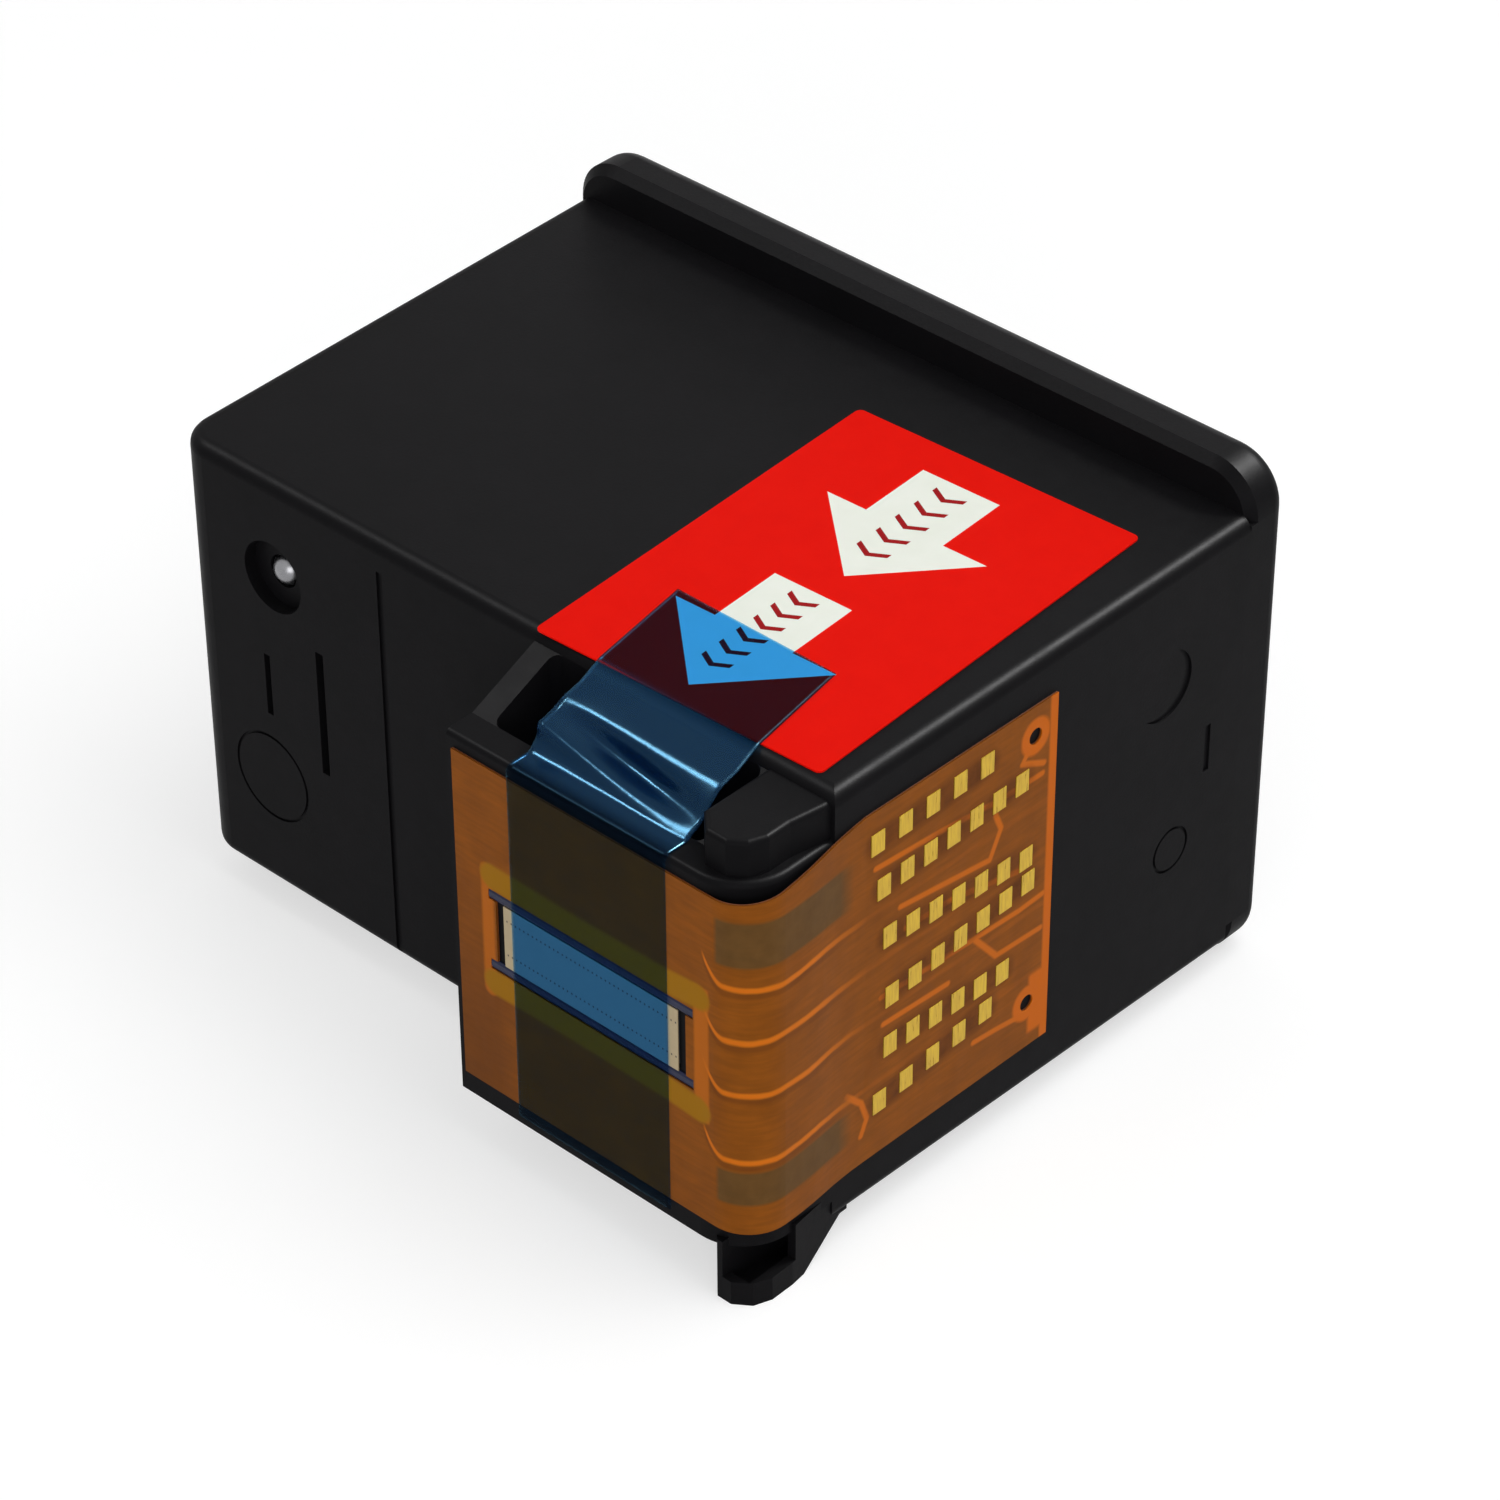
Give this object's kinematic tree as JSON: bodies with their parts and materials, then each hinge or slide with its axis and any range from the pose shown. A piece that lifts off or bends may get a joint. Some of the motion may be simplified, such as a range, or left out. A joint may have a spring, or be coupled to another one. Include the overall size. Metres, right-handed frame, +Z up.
{
  "type": "inkjet ink cartridge",
  "caption": "Box-shaped inkjet cartridge with a flanged lid, a printhead snout, a flex circuit with contact pads, a pull label and a translucent seal tape.",
  "frame": {"origin": "middle of the footprint's bounding box, on the surface that the cartridge lies on", "axes": "+X towards the side with the contact pads, +Y from the nozzles to the lid, +Z up, across the cartridge's thickness"},
  "size_m": [0.055, 0.0464, 0.0364],
  "materials": {
    "black_plastic": "fine moulded texture",
    "steel_ball": "dull ball",
    "wet_foam": "foam soaked with ink",
    "steel_mesh": "woven mesh",
    "silicon": "polished silicon",
    "adhesive": "cured adhesive",
    "barrier_film": "clear resist",
    "plated_metal": "plated nozzle plate",
    "encapsulant": "glossy cured bead",
    "polyimide": "smooth film",
    "bond_layer": "translucent layer",
    "copper": "thin copper foil",
    "gold_plating": "gold plated",
    "red_label": "printed film",
    "blue_tape": "translucent film"
  },
  "bodies": {
    "root": {"tank_body": "black_plastic", "tank_lid": "black_plastic", "fill_plug": "steel_ball", "ink_foam": "wet_foam", "filter_screen": "steel_mesh", "printhead_chip": "silicon", "chip_adhesive": "adhesive", "ink_barrier": "barrier_film", "nozzle_plate": "plated_metal", "encapsulant_bead_upper": "encapsulant", "encapsulant_bead_lower": "encapsulant", "flex_film": "polyimide", "flex_cover_layer": "bond_layer", "copper_traces": "copper", "contact_pads": "gold_plating", "pull_label": "red_label", "seal_tape": "blue_tape"}
  },
  "joints": []
}
